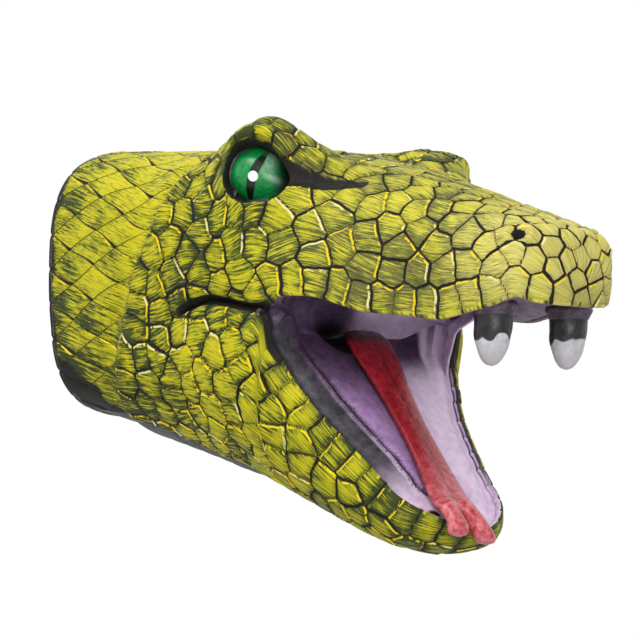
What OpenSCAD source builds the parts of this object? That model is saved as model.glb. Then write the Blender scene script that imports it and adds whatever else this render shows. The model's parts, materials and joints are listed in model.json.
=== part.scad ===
// Snake-head hand puppet with a moving mouth.
// Frame: origin at the centre of the wrist opening, +X towards the snout,
// +Y to the puppet's left, +Z up. All sizes are in millimetres.
// The soft skin is drawn as shells parted along its folds, so that the head
// and the jaw turn about the fold at the back of the mouth.

/* [Sleeve] */
// Radius of the wrist opening
wrist_r = 38; // [36:0.5:39]
// Length of the rolled rim round the wrist opening
rim_len = 6; // [4:0.5:8]
// Half width of the rim outside
rim_half_w = 41; // [40:0.5:44]
// Half width of the neck in front of the rim
neck_half_w = 43; // [42:0.5:46]
// Wall thickness of the soft skin
skin_t = 2.4; // [1.8:0.1:3]

/* [Head] */
// Distance from the wrist opening to the fold at the back of the mouth
hinge_x = 108; // [106:0.5:112]
// Height of that fold
hinge_z = -17; // [-19:0.5:-16]
// Length of the head in front of the fold
head_len = 91; // [86:1:98]
// Half width across the cheeks
cheek_half_w = 45; // [43:0.5:48]
// Half width of the snout at the fangs
snout_half_w = 24.5; // [23:0.5:26]
// How far each brow stands up
brow_rise = 13; // [8:0.5:14]

/* [Eyes and fangs] */
// Radius of an eyeball
eye_r = 9; // [8:0.5:10]
// Length of a fang below its gum
fang_len = 15; // [10:0.5:16]
// Radius of a fang at its gum
fang_r = 5.5; // [4:0.1:5.6]

/* [Jaw] */
// Angle of the lower jaw below the level, with the mouth at rest
gape = 52; // [48:1:54]
// Length of the jaw from the fold to the chin
jaw_len = 84; // [78:1:88]
// Half width of the jaw at its back
jaw_half_w = 45; // [43:0.5:46]
// Width of the dark band inside the lower lip
band_w = 6.5; // [5:0.5:7]

/* [Tongue] */
// Half width of the tongue
tongue_half_w = 7; // [5:0.5:8]
// Thickness of the tongue
tongue_t = 4.5; // [3:0.5:5]

/* [Hidden] */

GREEN = [0.62, 0.63, 0.12];
DARK = [0.16, 0.17, 0.16];
PURPLE = [0.58, 0.45, 0.60];
LILAC = [0.70, 0.60, 0.70];
RED = [0.62, 0.16, 0.20];
EYE = [0.02, 0.45, 0.22];
IVORY = [0.75, 0.75, 0.74];

ROUND = 2;            // sub-steps between two stations
ARC = 26;             // facets along one half of a section
BELLY_FROM = 8;       // first facet of the belly panel in the lower half
BELLY_TO = ARC - 8;   // last facet of the belly panel
fit_gap = 0.1;        // seam between parts of one body
roof_gap = 0.8;       // room between the roof of the mouth and the skin
fold_r = 5;           // roll at the back of the mouth
fold_end_r = 2.5;     // its thin ends, under the mouth corners
fold_half_w = 30;
snout_x = hinge_x + head_len;
roof_end_x = snout_x - 5.5;

// A station is one section of the skin, a bent arc from lip to lip:
// [lip x, lip z, middle x, middle z, half width, widest place, squareness].
// The widest place is a share of the way from the lips to the middle.

// Upper half of the neck, from the rim to the plane that the head clears
NECK_TOP = [
    [rim_len, -17, rim_len, 43.5, rim_half_w, 0.28, 2.6],
    [30, -17, 25, 42.5, neck_half_w, 0.28, 2.5],
    [58, -18, 40, 41.5, neck_half_w + 1, 0.30, 2.3],
    [83, -12.5, 52, 40.3, cheek_half_w, 0.25, 2.4],
    [hinge_x - 2, hinge_z, hinge_x - 48, 39.5, cheek_half_w, 0.27, 2.4]
];
// Lower half of the neck, from the rim to the plane that the jaw clears
NECK_LOW = [
    [rim_len, -17, rim_len, -46.5, rim_half_w, -0.6, 2.5],
    [30, -17, 30, -53, neck_half_w, -0.45, 2.4],
    [60, -18, 54, -60.5, neck_half_w + 1, -0.2, 2.2],
    [83, -12.5, 67, -65, cheek_half_w, 0, 2.2],
    [hinge_x - 2, hinge_z, hinge_x - 31, hinge_z - 51, cheek_half_w, 0.1, 2.2]
];
HEAD = [
    [hinge_x + 1, hinge_z + 3.5, hinge_x - 32, 37.5, cheek_half_w, 0.25, 2.5],
    [hinge_x + 7, -12.5, hinge_x - 16, 35.5, 44, 0.24, 2.6],
    [hinge_x + 13, -12.3, hinge_x - 2, 33.5, 42, 0.24, 2.6],
    [hinge_x + 20, -13.2, hinge_x + 11, 30.5, 39, 0.24, 2.6],
    [hinge_x + 34, -19, hinge_x + 30, 25.5, 33, 0.28, 2.6],
    [hinge_x + 55, -20.5, hinge_x + 54, 17.5, 27, 0.28, 2.6],
    [snout_x - 20, -18.8, snout_x - 20, 11.5, snout_half_w, 0.28, 2.8],
    [snout_x - 9, -18, snout_x - 8, 8, snout_half_w - 3, 0.30, 2.8],
    [snout_x - 3, -16.4, snout_x - 2, 4, snout_half_w - 8, 0.35, 2.5],
    [snout_x - 0.5, -16, snout_x, -5, 7, 0.4, 2.1]
];
// The same for the jaw, with places along the jaw and above its plane
JAW_PLANE = [
    [3.2, -3.2, 33.4, -51.5, jaw_half_w, 0.10, 2.2],
    [12.3, -7, 42.3, -45.8, 41, 0.14, 2.2],
    [31.4, -9.3, 55.3, -38.1, 34, 0.20, 2.2],
    [53.3, -7.4, 68.7, -28.3, 27.5, 0.30, 2.2],
    [67.3, -5.6, 77.6, -20.1, 24, 0.30, 2.2],
    [jaw_len - 7, -3, jaw_len - 0.2, -12.2, 16, 0.30, 2.1],
    [jaw_len - 0.8, -1.6, jaw_len + 1.8, -5.5, 6, 0.30, 2.1]
];
JAW = [for (s = JAW_PLANE)
    let (l = from_jaw(s[0], s[1]), m = from_jaw(s[2], s[3]))
    [l[0], l[1], m[0], m[1], s[4], s[5], s[6]]];

// Roof of the mouth: where its edges lie and how high it arches
ROOF = [for (s = HEAD) if (s[0] > hinge_x + 6 && s[0] < snout_x - 2)
    let (x = min(s[0], roof_end_x))
    [x, s[1] + 1, x, s[1] + roof_rise(x), lip_width(s) - skin_t - roof_gap, 0, 2.2]];
// Floor of the mouth in the jaw's plane: [along, height of edge, depth, half width]
FLOOR = [[8, -9, 5, 25], [20, -10.5, 7, 21], [35, -11, 8, 16.5], [50, -10, 8, 12.5],
         [62, -8.5, 7, 10.5], [70, -7.5, 5, 7.5]];
// The tongue's middle line in the jaw's plane: [along, height]
TONGUE_LINE = [[21, -6], [32, -5.8], [45, -5.5], [57, -4.2], [68, -1], [76, 2.5], [83, 3.5], [88, 0]];
BUMPS = [
    [[hinge_x - 5, -34, 30], brow_rise, 13.5],
    [[hinge_x - 5, 34, 30], brow_rise, 13.5]
];
EYE_AT = [hinge_x - 12, 32.5, 24.5];

function from_jaw(s, n) =
    [hinge_x + s * cos(gape) + n * sin(gape), hinge_z - s * sin(gape) + n * cos(gape)];
function jaw_point(s, y, n) = let (p = from_jaw(s, n)) [p[0], y, p[1]];
function roof_rise(x) = 11 - 6 * max(0, (x - hinge_x - 40) / head_len);
function power(c, p) = sign(c) * pow(abs(c), 2 / p);
function first_angle(hc, p) = hc > 0 ? -asin(hc) : asin(pow(-hc / (1 - hc), p / 2));
function lip_width(s) = s[4] * power(cos(first_angle(s[5], s[6])), s[6]);
function share(t, hc, p) = t > 0 && t < 180 ? hc + (1 - hc) * power(sin(t), p) : hc + sin(t);
function section(s, from = 0, to = ARC) = let (t0 = first_angle(s[5], s[6]))
    [for (j = [from:to])
        let (t = t0 + (180 - 2 * t0) * j / ARC, h = share(t, s[5], s[6]))
        [s[0] + (s[2] - s[0]) * h, -s[4] * power(cos(t), s[6]), s[1] + (s[3] - s[1]) * h]];
// A smooth run of stations through the given ones
function between(a, b, c, d, t) =
    0.5 * (2 * b + (c - a) * t + (2 * a - 5 * b + 4 * c - d) * t * t + (3 * b - a - 3 * c + d) * t * t * t);
function smooth(st, m = ROUND) = let (n = len(st) - 1) concat(
    [for (i = [0:n - 1], k = [0:m - 1])
        between(st[max(i - 1, 0)], st[i], st[i + 1], st[min(i + 2, n)], k / m)],
    [st[n]]);
function reversed(list) = [for (i = [len(list) - 1:-1:0]) list[i]];
function turned(g) = [for (row = g) reversed(row)];
function inner_columns(g) = [for (row = g) [for (j = [1:len(row) - 2]) row[j]]];
function unit(v) = v / norm(v);
function bump_at(p) = [for (b = BUMPS) b[1] * exp(-pow(norm(p - b[0]) / b[2], 2))] * [1, 1];
// Surface normal of a grid of points
function normal(g, i, j) = let (
    m = len(g) - 1, n = len(g[0]) - 1,
    a = g[min(i + 1, m)][j] - g[max(i - 1, 0)][j],
    b = g[i][min(j + 1, n)] - g[i][max(j - 1, 0)]) unit(cross(a, b));
function moved(g, d) = [for (i = [0:len(g) - 1])
    [for (j = [0:len(g[0]) - 1]) g[i][j] + d * normal(g, i, j)]];
function raised(g) = [for (i = [0:len(g) - 1]) [for (j = [0:len(g[0]) - 1])
    g[i][j] + bump_at(g[i][j]) * unit([0, 0, 1] - normal(g, i, j))]];

// A closed skin between two grids of points of the same size. With capped, it also
// closes over its last section, as at a snout or a chin.
module skin_between(outer, inner, capped = false) {
    m = len(outer) - 1;
    n = len(outer[0]) - 1;
    w = n + 1;
    half = (m + 1) * w;
    last = m * w;
    points = [for (grid = [outer, inner]) for (row = grid) for (p = row) p];
    walls = concat(
        [for (i = [0:m - 1], j = [0:n - 1])
            [i * w + j, i * w + j + 1, (i + 1) * w + j + 1, (i + 1) * w + j]],
        [for (i = [0:m - 1], j = [0:n - 1])
            [half + (i + 1) * w + j, half + (i + 1) * w + j + 1, half + i * w + j + 1, half + i * w + j]],
        [for (i = [0:m - 1]) [i * w, (i + 1) * w, half + (i + 1) * w, half + i * w]],
        [for (i = [0:m - 1]) [half + i * w + n, half + (i + 1) * w + n, (i + 1) * w + n, i * w + n]],
        [for (j = [0:n - 1]) [half + j, half + j + 1, j + 1, j]]);
    end_quads = capped
        ? [[last, last + n, half + last + n, half + last]]
        : [for (j = [0:n - 1]) [last + j, last + j + 1, half + last + j + 1, half + last + j]];
    end_fans = capped
        ? [for (j = [1:n - 1]) for (t = [[last, last + j, last + j + 1],
                                         [half + last, half + last + j + 1, half + last + j]]) t]
        : [];
    triangles = [for (q = concat(walls, end_quads)) for (t = [[q[0], q[1], q[2]], [q[0], q[2], q[3]]]) t];
    polyhedron(points, concat(triangles, end_fans), convexity = 8);
}
// A solid swept through closed rings of points
module swept(rings) {
    m = len(rings) - 1;
    n = len(rings[0]);
    sides = [for (i = [0:m - 1], j = [0:n - 1]) for (t = [
        [i * n + j, (i + 1) * n + j, (i + 1) * n + (j + 1) % n],
        [i * n + j, (i + 1) * n + (j + 1) % n, i * n + (j + 1) % n]]) t];
    ends = concat([for (j = [1:n - 2]) [0, j, j + 1]],
                  [for (j = [1:n - 2]) [m * n, m * n + j + 1, m * n + j]]);
    polyhedron([for (r = rings) for (p = r) p], concat(sides, ends), convexity = 6);
}
// Mirrors a piece drawn for the right side where side is positive
module mirrored(side) {
    if (side < 0) children();
    else mirror([0, 1, 0]) children();
}

// The sleeve and the belly panel share their edges, so each is offset with one
// column to spare on either side, which is then dropped.
module neck_part(g, paint) {
    color(paint) skin_between(inner_columns(g), inner_columns(moved(g, -skin_t)));
}
// Green sleeve round the hand, open along the belly
module neck_sleeve() {
    low = smooth(NECK_LOW);
    top = smooth(NECK_TOP);
    neck_part([for (i = [0:len(top) - 1]) concat(
        reversed(section(low[i], 0, BELLY_FROM + 1)),
        [for (j = [1:ARC]) section(top[i])[j]],
        [for (j = [ARC - 1:-1:BELLY_TO - 1]) section(low[i])[j]])], GREEN);
}
// Smooth dark band under the neck
module belly_panel() {
    neck_part([for (s = smooth(NECK_LOW)) reversed(section(s, BELLY_FROM - 1, BELLY_TO + 1))], DARK);
}
// Dark rolled edge of the wrist opening
module cuff_rim() {
    top = section(NECK_TOP[0]);
    low = reversed(section(NECK_LOW[0]));
    outline = [for (p = concat(top, [for (j = [1:ARC - 1]) low[j]])) [p[1], p[2]]];
    color(DARK) difference() {
        rotate([90, 0, 90]) linear_extrude(rim_len) polygon(outline);
        translate([-1, 0, 0]) rotate([0, 90, 0]) cylinder(h = rim_len + 2, r = wrist_r, $fn = 96);
    }
}
// Rolled fold at the back of the mouth, on the axis that both jaws turn about
module throat_fold() {
    color(PURPLE) translate([hinge_x, 0, hinge_z]) rotate([90, 0, 0]) {
        cylinder(h = 2 * fold_half_w, r = fold_r, center = true, $fn = 48);
        cylinder(h = 2 * cheek_half_w - 4, r = fold_end_r, center = true, $fn = 32);
    }
}
// Fan of soft skin in a mouth corner
module cheek_web(side) {
    web_t = 2;
    r_in = fold_end_r + 0.5;
    r_out = 17;
    fan = concat([for (a = [-14:-8:-46]) r_out * [cos(a), sin(a)]],
                 [for (a = [-46:8:-14]) r_in * [cos(a), sin(a)]]);
    color(LILAC) mirrored(side) translate([hinge_x, -34.5, hinge_z])
        rotate([90, 0, 0]) linear_extrude(web_t) polygon(fan);
}
// Upper skin of the head with its brows, open below and behind
module head_skin() {
    g = [for (s = smooth(HEAD)) reversed(section(s))];
    outer = raised(g);
    color(GREEN) difference() {
        skin_between(turned(outer), turned(moved(outer, skin_t)), capped = true);
        for (side = [-1, 1])
            translate([EYE_AT[0], side * EYE_AT[1], EYE_AT[2]]) sphere(eye_r + 0.2, $fn = 48);
    }
}
// Arched roof of the mouth
module palate() {
    g = [for (s = smooth(ROOF)) section(s)];
    color(PURPLE) skin_between(g, moved(g, -1.8));
}
// Domed front of an eye, cut off flat behind the skin
module eye(side) {
    cut_y = -2.5;
    cut_angle = asin(cut_y / eye_r);
    dome = concat([[0, cut_y]], [for (k = [0:12]) let (a = cut_angle + (90 - cut_angle) * k / 12)
        [k == 12 ? 0 : eye_r * cos(a), eye_r * sin(a)]]);
    color(EYE) mirrored(-side) translate(EYE_AT) rotate([-90, 0, 0]) rotate_extrude($fn = 48) polygon(dome);
}
module at_fang(side) {
    translate([snout_x - 20, side * (snout_half_w - 8.6), -20.4]) rotate([0, 4, 0]) children();
}
// Round gum pad that a fang grows from
module fang_gum(side) {
    color(PURPLE) at_fang(side) cylinder(h = 1.6, r = fang_r, $fn = 40);
}
// Blunt round cone
module fang(side) {
    tip_r = 2.4;
    sides = [[fang_r, 0], [fang_r * 0.95, -fang_len * 0.35], [fang_r * 0.75, -fang_len * 0.65]];
    profile = concat([[0, 0]], sides,
                     [for (a = [0:30:90]) [tip_r * cos(a), -fang_len + tip_r - tip_r * sin(a)]]);
    color(IVORY) at_fang(side) translate([0, 0, -fit_gap]) rotate_extrude($fn = 40) polygon(profile);
}
// Lower skin of the jaw, open above and behind
module jaw_skin() {
    g = [for (s = smooth(JAW)) section(s)];
    color(GREEN) skin_between(turned(g), turned(moved(g, skin_t)), capped = true);
}
// Path inside the lower lip: [along, half width, height] from one corner to the chin
LIP_PATH = [for (s = smooth([for (k = [2:len(JAW_PLANE) - 1]) JAW_PLANE[k]], 3))
    [s[0], lip_width(s), s[1]]];
LIP_LOOP = concat([for (p = LIP_PATH) [p[0], -p[1], p[2]]], [for (p = reversed(LIP_PATH)) p]);
function lip_normal(i) = let (
    n = len(LIP_LOOP) - 1,
    a = LIP_LOOP[max(i - 1, 0)], b = LIP_LOOP[min(i + 1, n)],
    v = unit([b[0] - a[0], b[1] - a[1]])) [v[1], -v[0]];
// A ring across the lip: pairs of [inward, upward] carried to every place on the loop
module along_lip(shape) {
    swept([for (i = [0:len(LIP_LOOP) - 1]) let (p = LIP_LOOP[i], nv = lip_normal(i))
        [for (q = shape) jaw_point(p[0] - nv[0] * q[0], p[1] - nv[1] * q[0], p[2] + q[1])]]);
}
// Dark band just inside the lower lip
module lip_band() {
    a = skin_t + fit_gap;
    color(DARK) along_lip([[a, 0], [a, -2], [a + band_w, -3.4], [a + band_w, -1.4]]);
}
// Raised ridge between the band and the floor of the mouth
module gum_ridge() {
    mid = skin_t + 2 * fit_gap + band_w + 1.4;
    color(LILAC) along_lip([for (a = [0:45:315]) [mid + 1.4 * cos(a), -2.4 + 1.4 * sin(a)]]);
}
// Sunken floor of the mouth
module mouth_floor() {
    floor_t = 1.8;
    rows = smooth(FLOOR, 3);
    top = [for (f = rows) [for (k = [-8:8]) let (q = k / 8)
        jaw_point(f[0], f[3] * q, f[1] - f[2] * (1 - q * q))]];
    under = [for (f = rows) [for (k = [-8:8]) let (q = k / 8)
        jaw_point(f[0], f[3] * q, f[1] - f[2] * (1 - q * q) - floor_t)]];
    color(PURPLE) skin_between(top, under);
}
// Pad that joins the tongue to the floor
module tongue_root() {
    color(RED) translate([hinge_x, 0, hinge_z]) rotate([0, gape, 0])
        translate([15, -5, -16.2]) cube([8, 10, 7]);
}
// Long tongue that lies over the front lip in two lobes
module tongue() {
    line = smooth(TONGUE_LINE, 3);
    fork = len(line) - 9;
    color(RED) {
        swept([for (i = [0:fork]) tongue_ring(line, i, 0, tongue_half_w)]);
        for (side = [-1, 1]) swept([for (i = [fork - 1:len(line) - 1])
            let (q = (i - fork + 1) / (len(line) - fork))
            tongue_ring(line, i, side * (3.4 + 3 * q), 3.2 - 1.4 * q * q)]);
    }
}
function tongue_ring(line, i, y, w) = let (
    a = line[max(i - 1, 0)], b = line[min(i + 1, len(line) - 1)], v = unit(b - a), up = [-v[1], v[0]])
    [for (t = [0:30:330]) let (h = tongue_t / 2 * sin(t))
        jaw_point(line[i][0] + up[0] * h, y + w * cos(t), line[i][1] + up[1] * h)];

neck_sleeve();
cuff_rim();
belly_panel();
throat_fold();
cheek_web(-1);  // cheek_web_right
cheek_web(1);  // cheek_web_left
head_skin();
palate();
eye(-1);  // eye_right
eye(1);  // eye_left
fang_gum(-1);  // fang_gum_right
fang_gum(1);  // fang_gum_left
fang(-1);  // fang_right
fang(1);  // fang_left
jaw_skin();
lip_band();
gum_ridge();
mouth_floor();
tongue_root();
tongue();
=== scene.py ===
"""Snake-head hand puppet with a moving mouth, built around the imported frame.

Meshes are worked out in millimetres in the frame's own axes (+X to the snout,
+Y to the puppet's left, +Z up) and written to Blender in metres.
"""
import json
import math

import bpy
import numpy as np
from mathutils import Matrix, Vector


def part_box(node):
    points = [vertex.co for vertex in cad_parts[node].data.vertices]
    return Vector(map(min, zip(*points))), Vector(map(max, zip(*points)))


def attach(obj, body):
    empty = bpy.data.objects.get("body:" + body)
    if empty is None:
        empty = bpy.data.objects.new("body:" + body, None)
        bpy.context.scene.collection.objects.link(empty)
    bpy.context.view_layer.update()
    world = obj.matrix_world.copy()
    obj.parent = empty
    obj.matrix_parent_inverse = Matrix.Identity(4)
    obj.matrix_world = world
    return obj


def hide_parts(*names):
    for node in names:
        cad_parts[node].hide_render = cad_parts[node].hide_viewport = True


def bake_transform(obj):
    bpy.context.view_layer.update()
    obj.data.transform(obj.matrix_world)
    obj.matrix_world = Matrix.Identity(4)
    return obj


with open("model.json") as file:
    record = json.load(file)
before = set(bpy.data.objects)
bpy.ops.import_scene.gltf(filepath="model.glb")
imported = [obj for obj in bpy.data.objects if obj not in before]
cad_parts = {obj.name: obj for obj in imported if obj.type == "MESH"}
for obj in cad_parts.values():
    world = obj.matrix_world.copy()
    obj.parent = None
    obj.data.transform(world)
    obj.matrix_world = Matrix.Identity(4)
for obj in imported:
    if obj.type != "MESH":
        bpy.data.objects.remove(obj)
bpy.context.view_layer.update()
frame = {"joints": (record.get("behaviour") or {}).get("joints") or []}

MM = 0.001
STEP = 0.62
rng = np.random.default_rng(11)

# ---------------------------------------------------------------- driving sizes

JOINTS = {joint["name"]: joint for joint in frame["joints"]}
HINGE_X, _, HINGE_Z = np.array(JOINTS["jaw_open"]["pos_m"]) / MM
GAPE = math.radians(52)
SKIN_T = 2.4
INNER_EVERY = 5          # the inner wall takes every fifth row and column
LIP_R = 1.1
RIM_R = 2.0
FORWARD = np.array([1.0, 0, 0])
UP = np.array([0, 0, 1.0])


def node_box(name):
    """Lowest and highest corner of a CAD node, in millimetres."""
    low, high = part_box(name)
    return np.array(low) / MM, np.array(high) / MM


SNOUT_X = node_box("head_skin")[1][0]

# One station is a section of the skin, a bent arc from lip to lip:
# [lip x, lip z, middle x, middle z, half width, widest place, squareness]
UPPER = [
    [0, -17, 0, 43.2, 40.6, 0.28, 3.0],
    [6, -17, 6, 43.5, 41, 0.28, 3.0],
    [30, -17, 25, 41.8, 43, 0.28, 2.7],
    [58, -18, 40, 40.7, 44, 0.30, 2.3],
    [83, -12.5, 52, 39.7, 45, 0.25, 2.4],
    [HINGE_X - 2, HINGE_Z + 1, HINGE_X - 42, 38.6, 45, 0.26, 2.45],
    [HINGE_X + 7, -12.5, HINGE_X - 16, 35.5, 44, 0.24, 2.6],
    [HINGE_X + 13, -12.3, HINGE_X - 2, 33.5, 42, 0.24, 2.6],
    [HINGE_X + 20, -13.2, HINGE_X + 11, 30.2, 39, 0.24, 2.6],
    [HINGE_X + 34, -17.8, HINGE_X + 30, 25.0, 33, 0.28, 2.6],
    [HINGE_X + 55, -19.2, HINGE_X + 54, 16.7, 27, 0.28, 2.6],
    [SNOUT_X - 20, -16.8, SNOUT_X - 20, 10.7, 24.5, 0.28, 2.8],
    [SNOUT_X - 9, -15.2, SNOUT_X - 8.5, 6.4, 21.5, 0.30, 2.8],
    [SNOUT_X - 4.2, -16.9, SNOUT_X - 3, 2.8, 16.5, 0.35, 2.5],
    [SNOUT_X - 1.8, -17.5, SNOUT_X - 0.8, -3.5, 11, 0.4, 2.2],
    [SNOUT_X - 1.0, -17.7, SNOUT_X - 0.2, -10.5, 5.5, 0.4, 2.1],
    [SNOUT_X - 0.8, -17.8, SNOUT_X - 0.7, -17.3, 0.1, 0.4, 2.0],
]
NECK_LOW = [
    [0, -17, 0, -45.6, 40.6, -0.45, 3.1],
    [6, -17, 6, -46.2, 41, -0.45, 3.1],
    [30, -17, 30, -53.2, 43, -0.4, 2.6],
    [60, -18, 54, -61, 44, -0.2, 2.2],
    [83, -12.5, 67, -65, 45, 0.0, 2.2],
    [HINGE_X - 2, HINGE_Z + 1, HINGE_X - 31, -67.4, 45, 0.1, 2.2],
]
# The same for the jaw, with places along the jaw and above its plane
JAW_PLANE = [
    [4.5, -3.6, 33.4, -48, 44, 0.10, 2.2],
    [12.3, -7, 42.3, -42.6, 39.6, 0.14, 2.2],
    [31.4, -9.3, 55.3, -35.4, 32, 0.20, 2.2],
    [53.3, -7.4, 68.4, -26.8, 26, 0.30, 2.2],
    [67.3, -5.6, 76.6, -19.4, 22.6, 0.30, 2.2],
    [76.4, -3, 82.2, -12.0, 15.4, 0.30, 2.1],
    [82.2, -1.6, 84.4, -5.4, 6, 0.30, 2.1],
    [83.4, -2.7, 83.6, -3.1, 0.1, 0.30, 2.0],
]
CREASE_FROM = 64.0   # where the fold behind the mouth corner starts
MOUTH_FROM = HINGE_X + 1.0


def from_jaw(along, y, up):
    """A place given along the jaw's plane and above it, in the frame."""
    along, y, up = np.broadcast_arrays(*(np.asarray(v, float) for v in (along, y, up)))
    c, s = math.cos(GAPE), math.sin(GAPE)
    return np.stack([HINGE_X + along * c + up * s, y, HINGE_Z - along * s + up * c], -1)


def to_jaw(points):
    """The reverse: (along, y, up) of places in the frame."""
    c, s = math.cos(GAPE), math.sin(GAPE)
    x, z = points[..., 0] - HINGE_X, points[..., 2] - HINGE_Z
    return np.stack([x * c - z * s, points[..., 1], x * s + z * c], -1)


def jaw_station(s):
    a, b = from_jaw(s[0], 0, s[1]), from_jaw(s[2], 0, s[3])
    return [a[0], a[2], b[0], b[2], *s[4:]]


LOWER = NECK_LOW + [jaw_station(s) for s in JAW_PLANE]

# Soft bends: a direction away from the hinge line, and where along it the bend starts and ends
HEAD_BEND = (np.array([0.811, 0, 0.585]), -14.0, 6.0)
JAW_BEND = (np.array([0.91, 0, -0.41]), -14.0, 22.0)

# ------------------------------------------------------------------ mesh helpers


def ramp(low, high, x):
    """A smooth step from 0 at low to 1 at high."""
    t = np.clip((np.asarray(x, float) - low) / (high - low), 0, 1)
    return t * t * (3 - 2 * t)


def bell(x, width):
    """A smooth bump, 1 where x is 0."""
    return np.exp(-(x / width) ** 2)


def circle(count):
    """Angles of evenly spaced places round a circle."""
    return np.linspace(0, 2 * math.pi, count, endpoint=False)


def unit(v):
    return v / np.maximum(np.linalg.norm(v, axis=-1, keepdims=True), 1e-9)


def catmull(points, per_span):
    """A smooth run through the given rows of numbers."""
    p = np.array(points, float)
    last = len(p) - 1
    rows = []
    for i in range(last):
        a, b, c, d = p[max(i - 1, 0)], p[i], p[i + 1], p[min(i + 2, last)]
        for t in np.arange(per_span) / per_span:
            rows.append(0.5 * (2 * b + (c - a) * t + (2 * a - 5 * b + 4 * c - d) * t ** 2
                               + (3 * b - a - 3 * c + d) * t ** 3))
    rows.append(p[-1])
    return np.array(rows)


def along_length(points):
    return np.r_[0, np.cumsum(np.linalg.norm(np.diff(points, axis=0), axis=1))]


def even_rows(stations, step):
    """Stations spaced so that neither the lips nor the middle step over the given length."""
    dense = catmull(stations, 60)
    lips = np.linalg.norm(np.diff(dense[:, 0:2], axis=0), axis=1)
    middle = np.linalg.norm(np.diff(dense[:, 2:4], axis=0), axis=1)
    run = np.r_[0, np.cumsum(np.maximum(lips, middle) + 0.02)]
    at = np.linspace(0, run[-1], int(run[-1] / step) + 1)
    return np.stack([np.interp(at, run, dense[:, k]) for k in range(7)], -1)


def section(station, columns):
    """Points of one section, evenly spaced from the right lip to the left."""
    lip_x, lip_z, mid_x, mid_z, half, widest, p = station
    if widest > 0:
        first = -math.asin(widest)
    else:
        first = math.asin((-widest / (1 - widest)) ** (p / 2))
    t = np.linspace(first, math.pi / 2, 300)
    s, c = np.sin(t), np.cos(t).clip(0)
    share = np.where(t >= 0, widest + (1 - widest) * np.abs(s) ** (2 / p), widest + s)
    right = np.stack([lip_x + (mid_x - lip_x) * share, -half * c ** (2 / p),
                      lip_z + (mid_z - lip_z) * share], -1)
    whole = np.concatenate([right, right[::-1][1:] * [1, -1, 1]])
    run = along_length(whole)
    at = np.linspace(0, run[-1], columns)
    return np.stack([np.interp(at, run, whole[:, k]) for k in range(3)], -1)


def normals(g):
    """Normals of a skin's grid, turned away from a line inside the puppet."""
    middle, lips = g[:, g.shape[1] // 2], (g[:, 0] + g[:, -1]) / 2
    inner = (0.7 * lips + 0.3 * middle)[:, None]
    n = unit(np.cross(np.gradient(g, axis=0), np.gradient(g, axis=1)))
    return n * np.sign(((g - inner) * n).sum(-1).mean())


def grid_faces(rows, columns, offset=0, closed=False):
    """Quads of a grid; closed joins its last column to its first."""
    i = np.arange(rows - 1)[:, None]
    j = np.arange(columns if closed else columns - 1)[None, :]
    k = (j + 1) % columns
    quads = np.stack(np.broadcast_arrays(i * columns + j, i * columns + k,
                                         (i + 1) * columns + k, (i + 1) * columns + j), -1)
    return quads.reshape(-1, 4) + offset


def set_attributes(mesh, attributes):
    """Numbers or vectors, one a point, that the materials read."""
    for key, values in attributes.items():
        values = np.asarray(values, np.float32)
        kind, field = ("FLOAT_VECTOR", "vector") if values.ndim == 2 else ("FLOAT", "value")
        mesh.attributes.new(key, kind, "POINT").data.foreach_set(field, values.ravel())


def shade_smooth(mesh):
    mesh.polygons.foreach_set("use_smooth", np.ones(len(mesh.polygons), bool))


def make_mesh(name, points, faces, materials, attributes, face_materials=None):
    """A smooth-shaded object from points in millimetres, without unused points."""
    used = np.unique(np.concatenate([f.ravel() for f in faces]))
    index = np.full(len(points), -1)
    index[used] = np.arange(len(used))
    mesh = bpy.data.meshes.new(name)
    mesh.from_pydata((points[used] * MM).tolist(), [], [q for f in faces for q in index[f].tolist()])
    for paint in materials:
        mesh.materials.append(paint)
    if face_materials is not None:
        mesh.polygons.foreach_set("material_index", face_materials.astype(np.int32))
    shade_smooth(mesh)
    set_attributes(mesh, {key: values[used] for key, values in attributes.items()})
    mesh.validate()
    mesh.update()
    piece = bpy.data.objects.new(name, mesh)
    bpy.context.scene.collection.objects.link(piece)
    return piece


def grid_piece(name, p, material, closed=False, **attributes):
    """An object from a grid of points; an attribute is a grid too, or one number."""
    size = p.shape[:2]
    spread = {key: np.broadcast_to(values, size).ravel() for key, values in attributes.items()}
    spread["place"] = p.reshape(-1, 3)
    return make_mesh(name, spread["place"], [grid_faces(*size, closed=closed)], [material], spread)


def bend(piece, child, direction, start, end):
    """Bakes a piece's transform into its points."""
    hinge = np.array([HINGE_X, 0, HINGE_Z])
    tuple((hinge + direction * start) * MM)
    tuple((hinge + direction * end) * MM)
    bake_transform(piece)


# ---------------------------------------------------------------------- paint


def rgb(r, g, b):
    """An 8-bit screen colour as linear light, with alpha."""
    def linear(v):
        v /= 255
        return v / 12.92 if v <= 0.04045 else ((v + 0.055) / 1.055) ** 2.4
    return (linear(r), linear(g), linear(b), 1)


LATTICE = 12.0     # spacing of the neck's diagonal lines, round the neck
SLANT = 0.46       # their slope
LATTICE_FLAT = LATTICE / math.hypot(1, SLANT)

CHARCOAL = rgb(34, 33, 29)
UNDER_GREEN = rgb(54, 64, 30)
OLIVE = rgb(129, 133, 28)
YELLOW = rgb(191, 181, 28)
GOLD = rgb(226, 198, 28)
CREAM = rgb(214, 208, 150)
PALE_SNOUT = rgb(212, 200, 112)


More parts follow.
